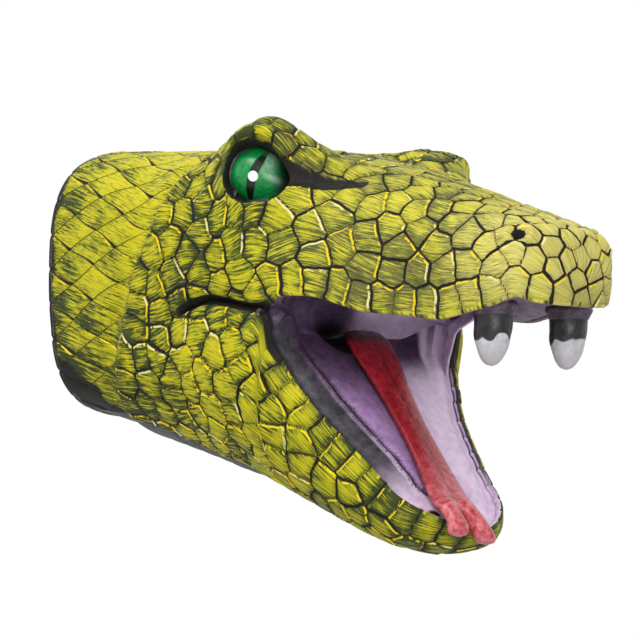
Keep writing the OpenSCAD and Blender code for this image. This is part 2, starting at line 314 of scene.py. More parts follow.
class Value:
    """A number, vector or colour inside a material, so that formulas read as arithmetic."""

    def __init__(self, paint, socket):
        self.paint = paint
        self.socket = socket

    def __add__(self, other):
        return self.paint.math("ADD", self, other)

    def __sub__(self, other):
        return self.paint.math("SUBTRACT", self, other)

    def __rsub__(self, other):
        return self.paint.math("SUBTRACT", other, self)

    def __mul__(self, other):
        return self.paint.math("MULTIPLY", self, other)

    def ramp(self, low, high, start=0.0, stop=1.0):
        """A smooth step from start, where the value is low, to stop, where it is high."""
        node = self.paint.node("ShaderNodeMapRange", (self, low, high, start, stop))
        node.interpolation_type = "SMOOTHSTEP"
        return Value(self.paint, node.outputs[0])


class Paint:
    """Short names for building one node material."""

    def __init__(self, name, roughness, specular=0.5, coat=0.0, coat_roughness=0.03):
        self.material = bpy.data.materials.new(name)
        self.material.use_nodes = True
        self.tree = self.material.node_tree
        self.shader = self.tree.nodes["Principled BSDF"].inputs
        self.shader["Roughness"].default_value = roughness
        self.shader["Specular IOR Level"].default_value = specular
        self.shader["Coat Weight"].default_value = coat
        self.shader["Coat Roughness"].default_value = coat_roughness

    def put(self, socket, value):
        if isinstance(value, Value):
            self.tree.links.new(value.socket, socket)
        else:
            socket.default_value = value

    def node(self, kind, values):
        """A new node with values for its first inputs, or for its inputs by name."""
        node = self.tree.nodes.new(kind)
        named = values.items() if isinstance(values, dict) else enumerate(values)
        for key, value in named:
            self.put(node.inputs[key], value)
        return node

    def attribute(self, name, output="Fac"):
        node = self.node("ShaderNodeAttribute", ())
        node.attribute_name = name
        return Value(self, node.outputs[output])

    def place(self):
        return self.attribute("place", "Vector")

    def math(self, operation, a, b=0.0):
        node = self.node("ShaderNodeMath", (a, b))
        node.operation = operation
        return Value(self, node.outputs[0])

    def noise(self, vector, scale, detail=2.0, roughness=0.5):
        node = self.node("ShaderNodeTexNoise", {
            "Vector": vector, "Scale": scale, "Detail": detail, "Roughness": roughness})
        return Value(self, node.outputs["Fac"])

    def mix(self, share, a, b):
        node = self.tree.nodes.new("ShaderNodeMix")
        node.data_type = "RGBA"
        for key, value in (("Factor", share), ("A", a), ("B", b)):
            self.put(node.inputs[key], value)
        return Value(self, node.outputs["Result"])

    def mottled(self, grain, low, high, start=0.3, stop=0.7):
        """Two screen colours, mixed by a noise."""
        return self.mix(grain.ramp(start, stop), rgb(*low), rgb(*high))

    def bump(self, height, distance, strength=1.0):
        node = self.node("ShaderNodeBump", {"Height": height, "Distance": distance, "Strength": strength})
        self.tree.links.new(node.outputs[0], self.shader["Normal"])

    def finish(self, colour):
        self.put(self.shader["Base Color"], colour)
        return self.material


def lattice_line(m):
    """Distance to the neck's diagonal lines, less their width: a faint and a bold family."""
    a, b, fade = m.attribute("lattice_a"), m.attribute("lattice_b"), m.attribute("fade")
    part_a, part_b = m.math("FRACT", a), m.math("FRACT", b)
    gap_a = m.math("MINIMUM", part_a, 1.0 - part_a) * LATTICE_FLAT
    gap_b = m.math("MINIMUM", part_b, 1.0 - part_b) * LATTICE_FLAT
    bold = m.math("FRACT", m.math("FLOOR", a) * 0.7548 + m.math("FLOOR", b + 0.5) * 0.5698)
    # the bold lines are charcoal grooves that widen towards each node as painted shadow under the
    # overlapping diamond
    overlap_shadow = m.math("POWER", part_a, 2.4) * (bold * 0.45 + 0.25)
    return m.math("MINIMUM", gap_a - fade * 0.15, gap_b - fade * (overlap_shadow + 0.16))


def scale_paint():
    """Dry-brushed green scales with charcoal grooves, bright edges that are partly painted highlight, and
    some painted shade.
    """
    m = Paint("scale_paint", 0.5, 0.10)
    edge, tone, lit, width = (m.attribute(key) for key in ("edge", "tone", "lit", "width"))
    dark, pale, warm, free = (m.attribute(key) for key in ("dark", "pale", "warm", "free"))
    flow, place = m.attribute("flow", "Vector"), m.place()
    strokes = m.noise(flow, 1.0, 4.0, 0.62)
    fine = m.noise(flow, 2.3, 3.0, 0.6)
    blotch = m.noise(place, 0.09, 3.0, 0.55)
    wobble = m.noise(place, 0.75, 3.0, 0.6)
    lattice = lattice_line(m)
    # layers of paint, from the dark ground to the last dry strokes
    cover = strokes + (blotch - 0.5) * 0.5 + (tone - 0.5) * 0.10 + warm * 0.10
    cover = cover + edge.ramp(0.3, 3.0, -0.09, 0.02)
    colour = m.mix(cover.ramp(0.41, 0.51), UNDER_GREEN, OLIVE)
    bright = fine + (cover - 0.5) * 0.8
    colour = m.mix(bright.ramp(0.515, 0.60), colour, YELLOW)
    colour = m.mix(pale * fine.ramp(0.35, 0.6), colour, PALE_SNOUT)
    # bright line along one side of some scales: yellow dry-brushed paint, laid as a painted highlight on
    # the rims that face up and forward and beside some of the neck's bold lines
    hidden = free * 10.0
    rim = m.math("MINIMUM", edge - width, lattice + hidden)
    near = rim.ramp(0.0, 0.2) * rim.ramp(0.45, 0.8, 1.0, 0.0)
    near = near * m.noise(place, 0.33, 3.0, 0.7).ramp(0.42, 0.52)
    colour = m.mix(near * lit.ramp(0.35, 0.65), colour, GOLD)
    colour = m.mix(near * lit.ramp(1.4, 1.6), colour, CREAM)
    # dark patches and grooves; the dark attribute carries charcoal paint near the cuff, under the neck and
    # round the eyes, and painted shade in the crease, the folds before the eyes and the nostrils
    line = edge + (wobble - 0.5) * free.ramp(0, 1, 0.16, 0.42) - width
    line = m.math("MINIMUM", line, lattice + (wobble - 0.5) * 0.10 + hidden)
    smear = dark + (strokes - 0.5) * 1.4
    colour = m.mix(smear.ramp(0.42, 0.62), colour, CHARCOAL)
    colour = m.mix(line.ramp(-0.12, 0.12, 1.0, 0.0), colour, CHARCOAL)
    m.bump(strokes * 0.45 + line.ramp(-0.2, 0.5), 0.0004, 0.7)
    m.put(m.shader["Roughness"], strokes.ramp(0.3, 0.7, 0.62, 0.42))
    return m.finish(colour)


def rubber_paint(name, base, light, roughness):
    """Plain soft rubber with a faint mottle."""
    m = Paint(name, roughness, 0.4)
    m.bump(m.noise(m.place(), 1.6, 3.0), 0.0003, 0.4)
    return m.finish(m.mottled(m.noise(m.place(), 0.35, 5.0, 0.65), base, light, 0.35))


def mouth_paint():
    """Lining inside the lower lip: dark band, ridge, stippled groove and purple floor, with painted shade
    towards the back of the mouth and painted light on the left side.
    """
    m = Paint("mouth_paint", 0.4, 0.4)
    inset, run = m.attribute("inset"), m.attribute("run")
    # the left side is painted paler, partly its own paler paint and partly painted light on the walls that
    # face the lamps
    left = m.attribute("side").ramp(-4, 12)
    grain = m.noise(m.place(), 0.35, 5.0, 0.65)
    speck = m.noise(m.place(), 1.9, 3.0, 0.6)
    deep = m.mottled(grain, (52, 36, 58), (84, 60, 90))
    shaded_lilac = m.mottled(grain, (112, 92, 118), (146, 122, 152))
    lilac = m.mottled(grain, (184, 160, 188), (208, 188, 210))
    bright = m.mottled(grain, (206, 182, 212), (228, 206, 230))
    purple = m.mottled(grain, (150, 114, 164), (178, 144, 190))
    purple = m.mix(left * inset.ramp(30, 16), purple, bright)
    # painted shade: the purple deepens towards the back of the mouth, less on the left side
    purple = m.mix(run.ramp(8, left.ramp(0, 1, 40, 20)), deep, purple)
    groove = m.mix(left, rgb(48, 38, 52), bright)
    # painted shade: the ridge and its crest darken towards the back of the mouth
    ridge = m.mix(left, m.mix(run.ramp(30, 72), shaded_lilac, lilac), bright)
    crest = m.mix((run + left * 14).ramp(6, 34), deep, ridge)
    colour = m.mix(inset.ramp(9.0, 10.2), crest, groove)
    rough_inset = inset + (grain - 0.5) * 1.6
    colour = m.mix(rough_inset.ramp(11.0, 12.6), colour, purple)
    band = m.mottled(grain, (40, 39, 43), (76, 73, 80), 0.3, 0.75)
    # the band pales towards the front, and on the left side as painted light
    pale = m.math("MAXIMUM", run.ramp(50, 70), left * inset.ramp(0.2, 0.7))
    band = m.mix(pale, band, m.mix(left, lilac, bright))
    colour = m.mix(inset.ramp(6.9, 7.5, 1.0, 0.0), colour, band)
    dots = speck.ramp(0.52, 0.60) * inset.ramp(7.0, 8.0) * inset.ramp(10.5, 14.0, 1.0, 0.0)
    colour = m.mix(dots * (1.0 - left), colour, rgb(40, 33, 44))
    # painted shade and shadow from the dark attribute: the back of the floor, the throat over the tongue,
    # the right mouth corner and under the tongue's raised tip
    colour = m.mix(m.attribute("dark").ramp(0.25, 0.8), colour, rgb(24, 16, 26))
    m.bump(grain + speck * 0.3, 0.0005, 0.6)
    return m.finish(colour)


def palate_paint():
    """Dusky roof of the mouth, paler near its rim."""
    m = Paint("palate_paint", 0.42, 0.45)
    grain = m.noise(m.place(), 0.45, 5.0, 0.65)
    roof = m.mottled(grain, (70, 50, 76), (108, 82, 112))
    rim = m.mottled(grain, (92, 70, 96), (122, 98, 124), 0.35, 0.65)
    m.bump(grain, 0.0004, 0.5)
    return m.finish(m.mix(m.attribute("inset").ramp(2.0, 7.0, 1.0, 0.0), roof, rim))


def tongue_paint():
    """Wet red that pales towards the tips."""
    m = Paint("tongue_paint", 0.3, 0.35, 0.2, 0.15)
    grain = m.noise(m.place(), 0.5, 4.0, 0.6)
    pock = m.noise(m.place(), 2.4, 2.0, 0.5)
    deep = m.mottled(grain, (124, 16, 28), (164, 36, 46))
    tip = m.mottled(grain, (156, 40, 50), (206, 110, 118))
    colour = m.mix(m.attribute("run").ramp(44, 80), deep, tip)
    m.bump(grain + pock * 0.3, 0.0006, 0.6)
    # painted shade from the dark attribute, in the middle crease and at the root
    return m.finish(m.mix(m.attribute("dark").ramp(0.3, 1.0), colour, rgb(56, 8, 16)))


def eye_paint():
    """Green iris with a slit pupil and a painted light spot."""
    m = Paint("eye_paint", 0.32, 0.4, 0.15, 0.3)
    look = m.attribute("look", "Vector")
    split = m.node("ShaderNodeSeparateXYZ", (look,))
    across, up = Value(m, split.outputs[0]), Value(m, split.outputs[1])
    grain = m.noise(look, 9.0, 4.0, 0.6)
    colour = m.mottled(grain, (0, 104, 46), (8, 146, 68))
    sheen = across.ramp(0.14, 0.4) * across.ramp(0.5, 0.9, 1.0, 0.0) * up.ramp(-0.25, 0.45)
    colour = m.mix(sheen * grain.ramp(0.2, 0.7, 0.3, 0.75), colour, rgb(150, 186, 160))
    colour = m.mix(across.ramp(0.5, 1.05), colour, rgb(14, 40, 26))
    # the slit leans and narrows towards its ends
    lean = m.math("ABSOLUTE", across - up * 0.22 + up * up * -0.10 - 0.06)
    half = m.math("ABSOLUTE", up + 0.12).ramp(0.35, 1.0, 0.155, 0.05)
    slit = (lean - half).ramp(-0.02, 0.02, 1.0, 0.0) * up.ramp(0.45, 0.85, 1.0, 0.35)
    colour = m.mix(slit, colour, rgb(14, 22, 18))
    dx, dz = across - 0.04, up + 0.16
    colour = m.mix((dx * dx + dz * dz).ramp(0.026, 0.034, 1.0, 0.0), colour, rgb(236, 238, 234))
    return m.finish(m.mix(m.attribute("edge").ramp(0.86, 1.0), colour, rgb(10, 34, 20)))


def fang_paint():
    """Grey-white tip that meets a charcoal root along a wavy edge."""
    m = Paint("fang_paint", 0.36, 0.5)
    run = m.attribute("run")
    grain = m.noise(m.place(), 0.5, 4.0, 0.65)
    waves = m.noise(m.place(), 0.22, 0.0, 0.4)
    ivory = m.mottled(grain, (158, 157, 162), (190, 189, 192), 0.25, 0.75)
    ivory = m.mix(run.ramp(0.5, 1.0), ivory, rgb(168, 164, 168))
    root = m.mottled(grain, (17, 17, 19), (38, 37, 41), 0.35)
    m.bump(grain, 0.0005, 0.5)
    return m.finish(m.mix((run + (waves - 0.5) * 0.42).ramp(0.47, 0.50), root, ivory))


SCALES = scale_paint()
INSIDE = rubber_paint("inner_rubber", (38, 38, 40), (66, 66, 68), 0.7)
DARK_RUBBER = rubber_paint("dark_rubber", (44, 45, 46), (80, 80, 80), 0.5)
LID_RUBBER = rubber_paint("lid_rubber", (48, 47, 52), (92, 90, 98), 0.42)
DARK_GUM = rubber_paint("dark_gum", (46, 38, 48), (96, 78, 98), 0.42)
MOUTH = mouth_paint()
PALATE = palate_paint()
TONGUE = tongue_paint()
EYE_GREEN = eye_paint()
FANG = fang_paint()

# ------------------------------------------------------------ the eyes' places

EYES = {}
for side, node in ((-1, "eye_right"), (1, "eye_left")):
    low, high = node_box(node)
    radius = (high[2] - low[2]) / 2 * 1.03
    outer = high[1] if side > 0 else low[1]
    centre = np.array([(low[0] + high[0]) / 2, outer - side * radius, (low[2] + high[2]) / 2])
    gaze = unit(np.array([0.50, side * 0.86, 0.05]))
    nose = unit(np.array([1.0, 0, -0.12]) - gaze * (gaze @ np.array([1.0, 0, -0.12])))
    crown = np.cross(nose, gaze)
    crown *= np.sign(crown[2])
    centre = centre + [0.4, 0, 0.9]
    EYES[side] = {"centre": centre, "radius": radius, "gaze": gaze, "nose": nose, "crown": crown}


def eye_outline(angle):
    """Radius of the eye's opening: round behind, drawn out to a low corner in front."""
    front = np.cos(angle + 0.36).clip(0)
    return 1.0 + 0.40 * front ** 5 - 0.05 * np.sin(angle).clip(0) ** 2


def in_eye(points, eye):
    """Places as (towards the nose, up, outwards) of an eye, in its radii."""
    d = points - eye["centre"]
    axes = np.stack([eye["nose"], eye["crown"], eye["gaze"]])
    return d @ axes.T / eye["radius"]


# ------------------------------------------------------------- the skin's relief

CHEEK_X = 50.0


def cheek_distance(p):
    """How far a place lies in front of the line where the cheek scales begin."""
    return p[..., 0] - (CHEEK_X + 0.52 * p[..., 2].clip(-46, 34))


def bump_at(p, centre, radius, stretch=(1, 1, 1)):
    d = (p - np.array(centre)) / np.array(stretch)
    return np.exp(-(d ** 2).sum(-1) / radius ** 2)


def distance_to_path(p, path):
    """Distance from places to a bent line, and how far along it they lie."""
    path = np.array(path, float)
    best = np.full(p.shape[:-1], 1e9)
    where = np.zeros(p.shape[:-1])
    for k, (a, b) in enumerate(zip(path[:-1], path[1:])):
        t = np.clip((p - a) @ (b - a) / ((b - a) @ (b - a)), 0, 1)
        d = np.linalg.norm(p - (a + t[..., None] * (b - a)), axis=-1)
        where = np.where(d < best, (k + t) / (len(path) - 1), where)
        best = np.minimum(best, d)
    return best, where


# Each brow's place and rise; the two aren't quite alike
BROWS = {-1: ([HINGE_X - 4.4, -35.2, 29.5], 16.4), 1: ([HINGE_X + 0.6, 36.0, 28.6], 12.4)}
NOSTRIL_AT = np.array([SNOUT_X - 9.4, 16.4, 0.8])


def sculpt_upper(p, n):
    """Moves the upper skin's points into brows, eye sockets, folds and nostrils."""
    p = p.copy()
    dark = np.zeros(p.shape[:-1])
    d_cheek = cheek_distance(p)
    p += n * (1.6 * ramp(-2, 3, d_cheek) * np.exp(-d_cheek.clip(0) / 28)
              - 0.9 * bell(d_cheek + 4, 4))[..., None]
    lift = unit(UP + n)
    for side in (-1, 1):
        brow, brow_rise = BROWS[side]
        p += lift * (brow_rise * bump_at(p, brow, 14.2))[..., None]
        p += lift * (2.2 * bump_at(p, [HINGE_X + 17, side * 30, 29], 9.0, (1.4, 1, 1)))[..., None]
        p += lift * (6.0 * bump_at(p, [HINGE_X - 22, side * 32, 32], 11.0, (1.2, 1, 1)))[..., None]
    for side in (-1, 1):
        eye = EYES[side]
        e = in_eye(p, eye)
        rho, angle = np.hypot(e[..., 0], e[..., 1]), np.arctan2(e[..., 1], e[..., 0])
        ratio = rho / eye_outline(angle)
        facing = ramp(-0.6, 0.0, e[..., 2]) * ramp(2.2, 1.6, e[..., 2])
        # hood above, ledge below, bowl inside
        hood = bell(ratio - 1.34, 0.24) * ramp(0.1, 0.8, np.sin(angle))
        p += (eye["gaze"] * 2.6 + eye["crown"] * 1.6) * (hood * facing)[..., None]
        ledge = bell(ratio - 1.15, 0.16) * ramp(0.2, -0.5, np.sin(angle))
        p += eye["gaze"] * (0.7 * ledge * facing)[..., None]
        bowl = ramp(1.10, 0.94, ratio) * facing
        depth = (e[..., 2] - 0.30).clip(0) * eye["radius"]
        p -= eye["gaze"] * (bowl * depth)[..., None]
        dark = np.maximum(dark, ramp(1.20, 1.04, ratio) * facing * 0.9)
        # fold that runs forward from the eye's corner, darkened with painted shade
        c = eye["centre"]
        fold = [c + [8.5, side * 6, 6.0], c + [14, side * 5, 2.5], c + [21, side * 4, -1.5],
                c + [29, side * 2.4, -4.5], c + [38, side * -0.6, -5.0]]
        gap, where = distance_to_path(p[..., [0, 2]], [q[[0, 2]] for q in fold])
        reach = 5.6 - 4.2 * where
        on_side = ramp(6, 14, p[..., 1] * side)
        p -= n * ((4.6 - 3.8 * where) * bell(gap, reach) * on_side)[..., None]
        dark = np.maximum(dark, ramp(1.2, 0.5, gap / reach) * (1.1 - 0.4 * where) * on_side)
        # nostril, on the surface point nearest to its place; its hole is darkened with painted shade
        gap = np.linalg.norm(p - NOSTRIL_AT * [1, side, 1], axis=-1)
        centre = p[np.unravel_index(gap.argmin(), gap.shape)]
        hole = np.linalg.norm(p - centre, axis=-1)
        p += n * (0.9 * bell(hole - 3.6, 1.3) - 2.8 * bell(hole, 1.8))[..., None]
        dark = np.maximum(dark, ramp(2.6, 1.5, hole) * 1.4)
    return p, dark


def seam_normals(g, n, arc):
    """Turns the normals level near the lips, so that both skins sink alike at their seam."""
    level = np.sign(g[..., 1:2]) * [0, 1, 0]
    near = bell(arc, 3.5)[..., None]
    return unit(n * (1 - near) + level * near)


def crease(p, n, arc_from_edge, lip_x):
    """Sinks both sides of the seam behind the mouth corner into one deep fold, and returns a mask that
    paints shade along it.
    """
    on = ramp(CREASE_FROM, CREASE_FROM + 9, lip_x) * ramp(MOUTH_FROM + 7, MOUTH_FROM - 4, lip_x)
    depth = 3.4 * bell(arc_from_edge, 1.7) * on
    return p - n * depth[..., None], ramp(2.3, 1.0, arc_from_edge) * on * 1.3


# ------------------------------------------------------------- the scale pattern

UPPER_ROUND = 92.0       # length of each skin's half section, for the lattice
LOWER_ROUND = 62.0
BLOCK = 20000            # places measured at a time, to save memory


def arc_from_lips(g):
    """For each point of a grid, how far it lies from the nearer lip, and half the row's length."""
    step = np.linalg.norm(np.diff(g, axis=1), axis=2)
    run = np.concatenate([np.zeros((len(g), 1)), np.cumsum(step, axis=1)], axis=1)
    return np.minimum(run, run[:, -1:] - run), run[:, -1] / 2


def at_arc(row, distance, from_left):
    """Point of one row at a distance from its right or left lip."""
    row = row[::-1] if from_left else row
    run = along_length(row)
    return np.array([np.interp(distance, run, row[:, k]) for k in range(3)])


def lip_row_seeds(g, rows, distance, gap):
    """Seeds for the single row of tall scales along a lip."""
    seeds = []
    for from_left in (False, True):
        last = None
        for i in rows:
            p = at_arc(g[i], distance, from_left)
            if last is None or np.linalg.norm(p - last) >= gap:
                if not seeds or np.linalg.norm(np.array(seeds) - p, axis=1).min() > gap * 0.8:
                    seeds.append(p)
                    last = p
    return seeds


def scale_gap(p):
    """How far apart the scales' centres lie, by place."""
    gap = 7.5 - 1.6 * ramp(168, 194, p[0]) - 0.5 * ramp(125, 150, p[0])
    return gap - 0.9 * ramp(18, 30, p[2]) * ramp(125, 105, p[0])


def scatter_seeds(upper, lower, lip_rows):
    """Scale centres over both skins, no closer than scale_gap."""
    cloud = np.concatenate([upper[::2, ::2].reshape(-1, 3), lower[::2, ::2].reshape(-1, 3)])
    cloud = cloud[cheek_distance(cloud) > 2.5]
    cloud = cloud[rng.permutation(len(cloud))]
    table = np.zeros((len(cloud), 3))
    fixed = count = len(lip_rows)
    table[:count] = lip_rows
    for p in cloud:
        gap = scale_gap(p)
        if ((table[:count] - p) ** 2).sum(1).min() > gap * gap:
            table[count] = p
            count += 1
    table = table[:count]
    # one round of evening out, which leaves the lip rows where they are
    owner = nearest(cloud, table)
    for k in range(fixed, count):
        own = cloud[owner == k]
        if len(own):
            table[k] = 0.4 * table[k] + 0.6 * own.mean(0)
    return table


def squared_gaps(points, seeds):
    """Squared distances from places to seeds, a block of places at a time."""
    for a in range(0, len(points), BLOCK):
        block = points[a:a + BLOCK]
        yield (block ** 2).sum(1)[:, None] - 2 * block @ seeds.T + (seeds ** 2).sum(1)


def nearest(points, seeds):
    return np.concatenate([d.argmin(1) for d in squared_gaps(points, seeds)])


def cells(points, seeds):
    """Owner, distance to the border and neighbour across it, for each point."""
    gaps = np.linalg.norm(seeds[:, None] - seeds[None], axis=2)
    np.fill_diagonal(gaps, 1e9)
    found = []
    for d in squared_gaps(points, seeds):
        row, own = np.arange(len(d)), d.argmin(1)
        reach = (d - d[row, own][:, None]) / (2 * gaps[own])
        reach[row, own] = 1e9
        reach[reach < 0] = 0
        found.append((own, reach.min(1), reach.argmin(1)))
    return [np.concatenate(part) for part in zip(*found)]


def warped(p):
    """Places shifted by gentle waves, so that the borders of the scales aren't straight."""
    x, y, z = p[..., 0], p[..., 1], p[..., 2]
    slow = np.stack([np.sin(0.55 * z + 0.21 * y), np.sin(0.5 * x + 1.3), np.sin(0.52 * x - 0.4 * y)], -1)
    fast = np.stack([np.sin(1.5 * z - 0.6 * y), np.sin(1.4 * z + 0.7 * x), np.sin(1.45 * x + 0.5 * y)], -1)
    return p + 0.36 * slow + 0.10 * fast


def pattern(points, around, seeds, seed_look):
    """Relief height and paint attributes of the scales at each point."""
    x = points[:, 0]
    owner, border, other = cells(warped(points), warped(seeds))
    tone, turn, tilt = seed_look
    d = cheek_distance(points)
    scaled = ramp(-0.4, 0.4, d)
    edge = np.where(d > 0, np.minimum(border, d + 0.25), 9.0)
    pair = (np.minimum(owner, other) * 7919 + np.maximum(owner, other) * 104729) % 1000 / 1000.0
    # painted highlight: a rim takes the bright dry-brushed line where its border faces up and forward
    upward = unit(seeds[other] - seeds[owner]) @ unit(np.array([0.45, 0, 0.9])) > 0.1
    lit = np.where(upward & (pair < 0.45), 1.0, 0.0)
    lit = np.where(upward & (pair > 0.86), 2.0, lit)
    width = 0.20 + 0.32 * ((pair * 13) % 1)
    # diamond lattice behind the cheek: a bold family of lines and a faint one
    sway = 0.035 * np.sin(x * 0.23 + around * 0.17)
    a = (around + x * SLANT) / LATTICE + sway
    b = (around - x * SLANT) / LATTICE - sway
    fa, fb = a % 1, b % 1
    da, db = np.minimum(fa, 1 - fa) * LATTICE_FLAT, np.minimum(fb, 1 - fb) * LATTICE_FLAT
    fade = ramp(-3.0, -11.0, d)
    bold = (np.floor(a) * 0.7548 + np.round(b) * 0.5698) % 1
    lit = np.where(d > 0, lit, np.where((db < da) & (fb < 0.5) & (bold > 0.55), 0.8, 0.0))
    # relief
    rock = ((points - seeds[owner]) * tilt[owner]).sum(1) * 0.035
    dome = 0.5 * (ramp(0.0, 1.0, border) - 1) + 0.18 * (1 - np.exp(-border / 2.4)) + rock
    shingle = 0.28 * (fa - fb) * fade * ramp(0, 1.2, np.minimum(da, db))
    shingle = shingle - 0.25 * bell(da, 0.5) - 0.45 * fa * bell(db, 0.6)
    height = scaled * dome + (1 - scaled) * shingle
    # brush strokes run along the head and turn a little on each scale
    angle = np.where(d > 0, turn[owner], 0.30)
    along = x * np.cos(angle) + around * np.sin(angle)
    cross = around * np.cos(angle) - x * np.sin(angle)
    shift = np.where(d > 0, owner * 3.7, np.floor(a) * 1.7 + np.floor(b) * 2.3)
    flow = np.stack([along * 0.11, cross * 1.65, shift], -1)
    lozenge = 0.8 * (fa - fb) + 0.2 + 0.6 * np.sin(np.floor(a) * 5.1 + np.floor(b) * 3.3)
    return height, {"edge": edge, "tone": np.where(d > 0, tone[owner], lozenge), "lit": lit,
                    "width": width, "flow": flow, "free": scaled, "fade": 0.2 + 0.8 * fade,
                    "lattice_a": a, "lattice_b": b}


# --------------------------------------------------------------------- the skins

def join_lower_edge(upper, lower):
    """Moves the lower skin's edges onto the upper skin's, back from the mouth corner."""
    share = np.linspace(0, 1, lower.shape[1])
    behind = upper[:, 0, 0] <= HINGE_X - 2
    for column, weight in ((0, (1 - 2 * share).clip(0) ** 2), (-1, (2 * share - 1).clip(0) ** 2)):
        edge, line = lower[:, column], upper[behind, column]
        x = edge[:, 0]
        target = np.stack([x] + [np.interp(x, line[:, 0], line[:, k]) for k in (1, 2)], -1)
        sure = ramp(HINGE_X + 3, HINGE_X - 1, x) * (to_jaw(edge)[:, 0] < 8)
        shift = (target - edge) * sure[:, None]
        lower += weight[None, :, None] * shift[:, None]
    return lower


def tilt_snout_lips(g):
    """Lowers the right upper lip near the fangs and lifts the left one, as on the object."""
    x = g[..., 0]
    on = ramp(SNOUT_X - 48, SNOUT_X - 30, x) * ramp(SNOUT_X - 6, SNOUT_X - 14, x)
    shift = np.where(g[..., 1] > 0, 1.7, -2.0) * bell(arc_from_lips(g)[0], 9.0) * on
    return g + shift[..., None] * UP


def skin_sections(stations, round_length):
    """A skin as a grid of points, one row a section."""
    columns = int(round_length / STEP)
    return np.array([section(s, columns) for s in even_rows(stations, STEP)])


upper = tilt_snout_lips(skin_sections(UPPER, 146))
lower = join_lower_edge(upper, skin_sections(LOWER, 112))
upper_n = normals(upper)
lower_n = normals(lower)
upper_arc, upper_half = arc_from_lips(upper)
lower_arc, lower_half = arc_from_lips(lower)
upper_lip_x = upper[:, 0, 0]
lower_lip_x = lower[:, 0, 0]

mouth_upper = np.nonzero(upper_lip_x > MOUTH_FROM)[0]
mouth_lower = np.nonzero(to_jaw(lower[:, 0])[:, 0] > 1.2)[0]
mouth_lower = mouth_lower[mouth_lower > np.argmax(lower_lip_x > HINGE_X - 3)]

around_upper = UPPER_ROUND * (1 - upper_arc / upper_half[:, None])
around_lower = UPPER_ROUND + LOWER_ROUND * (lower_arc / lower_half[:, None])

upper, upper_dark = sculpt_upper(upper, upper_n)
upper_n = normals(upper)
lower_d = cheek_distance(lower)
lower = lower + lower_n * (1.3 * ramp(-2, 3, lower_d) * np.exp(-lower_d.clip(0) / 28)
                           - 0.8 * bell(lower_d + 4, 4))[..., None]

seed_rows = mouth_lower[to_jaw(lower[mouth_lower, 0])[:, 0] > 6]
lip_rows = lip_row_seeds(upper, mouth_upper, 4.0, 7.4) + lip_row_seeds(lower, seed_rows, 3.8, 7.0)
seeds = scatter_seeds(upper, lower, lip_rows)
count = len(seeds)
seed_look = (rng.random(count), rng.normal(0, 0.16, count), rng.normal(0, 1.0, (count, 3)))


def finish_skin(g, n, around, arc, lip_x, dark):
    """Adds scales, crease and lip shading to a skin grid."""
    lip_x = lip_x[:, None]
    height, attributes = pattern(g.reshape(-1, 3), around.ravel(), seeds, seed_look)
    level = seam_normals(g, n, arc)
    ease = 1 - bell(arc, 1.0) * ramp(MOUTH_FROM + 4, MOUTH_FROM - 4, lip_x)
    p = g + level * (height.reshape(arc.shape) * ramp(0.65, 0.25, dark) * ease)[..., None]
    p, crease_painted_shade = crease(p, level, arc, lip_x)
    x, z = g[..., 0], g[..., 2]
    ragged = 2.0 * np.sin(z * 0.31) + 1.3 * np.sin(z * 0.83 + 1.0)
    near_cuff = 0.72 * ramp(7.0 + ragged, 0.5, x)
    under = 1.1 * ramp(-3, 5, -z - 21 - 0.95 * x + 0.9 * ragged) * ramp(62, 40, x)
    # dark: charcoal paint near the cuff, under the neck and round the eyes, and painted shade in the
    # crease, the folds and the nostrils
    attributes["dark"] = np.max([dark, crease_painted_shade, near_cuff, under], axis=0)
    attributes["pale"] = (0.24 * ramp(95, 150, x) * ramp(-60, -20, z)
                          + 0.9 * ramp(160, 194, x) * ramp(-30, -5, z))
    attributes["warm"] = (1.1 * ramp(4, -8, cheek_distance(g)) - 1.3 * ramp(30, 2, x)
                          - 1.1 * ramp(5, -35, z) * ramp(64, 30, x)
                          + 0.4 * ramp(120, 150, x) * ramp(0, 15, z)
                          - 0.5 * ramp(110, 140, x) * ramp(0, -12, z)
                          + 0.5 * ramp(50, 80, x) * ramp(-10, -30, z)
                          - 0.9 * ramp(125, 150, x) * ramp(-20, -45, z))
    return p, attributes


upper_skin, upper_paint = finish_skin(upper, upper_n, around_upper, upper_arc, upper_lip_x, upper_dark)
lower_skin, lower_paint = finish_skin(lower, lower_n, around_lower, lower_arc, lower_lip_x, 0 * lower_arc)


def rolled_lips(p, n, from_row):
    """Columns that roll a skin's two edges inwards, from the given row on."""
    turns = np.linspace(0, math.pi, 9)[1:]
    open_lip = ramp(-8, 10, np.arange(len(p)) - from_row)[:, None]
    ends = []
    for column, inner in ((0, 1), (-1, -2)):
        edge, normal = p[:, column], n[:, column]
        out = unit(edge - p[:, inner])
        out = unit(out - normal * (out * normal).sum(-1, keepdims=True))
        ends.append([edge + normal * LIP_R * (math.cos(t) - 1) + out * LIP_R * math.sin(t) * open_lip
                     for t in turns])
    return np.stack(ends[0][::-1], axis=1), np.stack(ends[1], axis=1)


